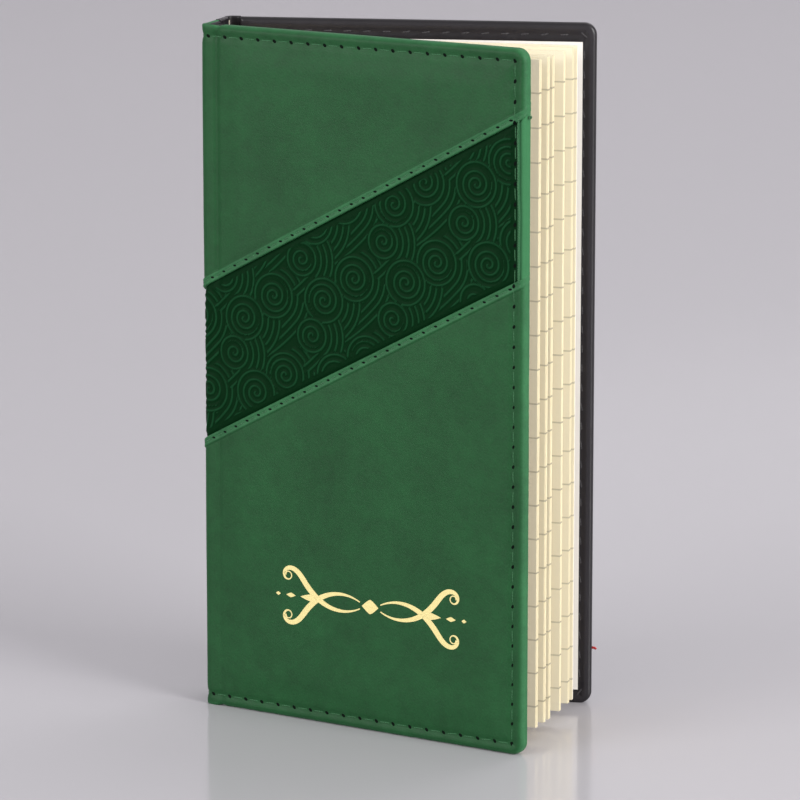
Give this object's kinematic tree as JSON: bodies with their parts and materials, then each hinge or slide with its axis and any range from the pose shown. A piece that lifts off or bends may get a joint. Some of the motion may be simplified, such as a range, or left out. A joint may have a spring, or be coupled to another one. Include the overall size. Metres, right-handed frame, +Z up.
{
  "type": "pocket notebook",
  "caption": "Pocket notebook with a padded, stitched leatherette case, a diagonal embossed band and sewn ruled sections, standing slightly open on its tail edge.",
  "frame": {"origin": "under the middle of the case, on the surface it stands on", "axes": "+Z up the spine, +X from the spine to the fore-edge along the middle of the opening, -Y toward the front cover"},
  "size_m": [0.0814, 0.0492, 0.152],
  "materials": {
    "green_leatherette": "fine mottled grain, satin",
    "embossed_leatherette": "embossed scrolls, satin",
    "black_leatherette": "fine grain, slightly glossy",
    "green_thread": "twisted thread",
    "black_thread": "waxed thread",
    "sewing_thread": "bookbinding thread",
    "red_thread": "thread end",
    "ruled_paper": "uncoated cream, ruled",
    "endpaper": "uncoated white",
    "board": "greyboard",
    "foam": "thin foam padding",
    "mull": "open-weave cloth",
    "glue": "dried flexible glue"
  },
  "bodies": {
    "spine": {"back_hinge_lining": "black_leatherette", "back_hinge_skin": "green_leatherette", "front_hinge_lining": "black_leatherette", "front_hinge_skin": "green_leatherette", "mull_cloth": "mull", "section_link_sewing": "sewing_thread", "spine_band": "embossed_leatherette", "spine_glue": "glue", "spine_lining": "black_leatherette", "spine_lower_panel": "green_leatherette", "spine_stiffener": "board", "spine_stitching": "green_thread", "spine_upper_panel": "green_leatherette"},
    "front_cover": {"front_band": "embossed_leatherette", "front_band_stitching": "green_thread", "front_board": "board", "front_edge_stitching": "green_thread", "front_endpaper": "endpaper", "front_float_thread": "green_thread", "front_foam_pad": "foam", "front_lining": "black_leatherette", "front_lining_stitching": "black_thread", "front_lower_panel": "green_leatherette", "front_thread_knot": "green_thread", "front_upper_panel": "green_leatherette"},
    "back_cover": {"back_band": "embossed_leatherette", "back_band_stitching": "green_thread", "back_board": "board", "back_edge_stitching": "green_thread", "back_endpaper": "endpaper", "back_foam_pad": "foam", "back_lining": "black_leatherette", "back_lining_stitching": "black_thread", "back_lower_panel": "green_leatherette", "back_upper_panel": "green_leatherette", "red_thread_end": "red_thread"},
    "section_1": {"section_1_leaves": "ruled_paper", "section_1_sewing": "sewing_thread"},
    "section_2": {"section_2_leaves": "ruled_paper", "section_2_sewing": "sewing_thread"},
    "section_3": {"section_3_leaves": "ruled_paper", "section_3_sewing": "sewing_thread"},
    "section_4": {"section_4_leaves": "ruled_paper", "section_4_sewing": "sewing_thread"},
    "section_5": {"section_5_leaves": "ruled_paper", "section_5_sewing": "sewing_thread"},
    "section_6": {"section_6_leaves": "ruled_paper", "section_6_sewing": "sewing_thread"}
  },
  "joints": [
    {"name": "front_cover_hinge", "type": "hinge", "parent": "spine", "child": "front_cover", "pos_m": [-0.0382, -0.006, 0.076], "axis": [0, 0, -1], "range_deg": [-12, 123], "deforming": ["front_hinge_skin", "front_hinge_lining"]},
    {"name": "back_cover_hinge", "type": "hinge", "parent": "spine", "child": "back_cover", "pos_m": [-0.0382, 0.006, 0.076], "axis": [0, 0, 1], "range_deg": [-12, 123], "deforming": ["back_hinge_skin", "back_hinge_lining"]},
    {"name": "section_1_fold", "type": "hinge", "parent": "spine", "child": "section_1", "pos_m": [-0.037, -0.00394, 0.076], "axis": [0, 0, -1], "range_deg": [-6.71, 68.69]},
    {"name": "section_2_fold", "type": "hinge", "parent": "spine", "child": "section_2", "pos_m": [-0.037, -0.00236, 0.076], "axis": [0, 0, -1], "range_deg": [-4.51, 46.13]},
    {"name": "section_3_fold", "type": "hinge", "parent": "spine", "child": "section_3", "pos_m": [-0.037, -0.00079, 0.076], "axis": [0, 0, -1], "range_deg": [-3.61, 36.91]},
    {"name": "section_4_fold", "type": "hinge", "parent": "spine", "child": "section_4", "pos_m": [-0.037, 0.00079, 0.076], "axis": [0, 0, 1], "range_deg": [-0.61, 6.16]},
    {"name": "section_5_fold", "type": "hinge", "parent": "spine", "child": "section_5", "pos_m": [-0.037, 0.00236, 0.076], "axis": [0, 0, 1], "range_deg": [-4.41, 45.11]},
    {"name": "section_6_fold", "type": "hinge", "parent": "spine", "child": "section_6", "pos_m": [-0.037, 0.00394, 0.076], "axis": [0, 0, 1], "range_deg": [-5.61, 57.41]}
  ],
  "couplings": [
    {"joint": "section_1_fold", "follows": "front_cover_hinge", "ratio": 0.55833},
    {"joint": "section_2_fold", "follows": "front_cover_hinge", "ratio": 0.375},
    {"joint": "section_3_fold", "follows": "front_cover_hinge", "ratio": 0.3},
    {"joint": "section_4_fold", "follows": "back_cover_hinge", "ratio": 0.05},
    {"joint": "section_5_fold", "follows": "back_cover_hinge", "ratio": 0.36667},
    {"joint": "section_6_fold", "follows": "back_cover_hinge", "ratio": 0.46667}
  ]
}
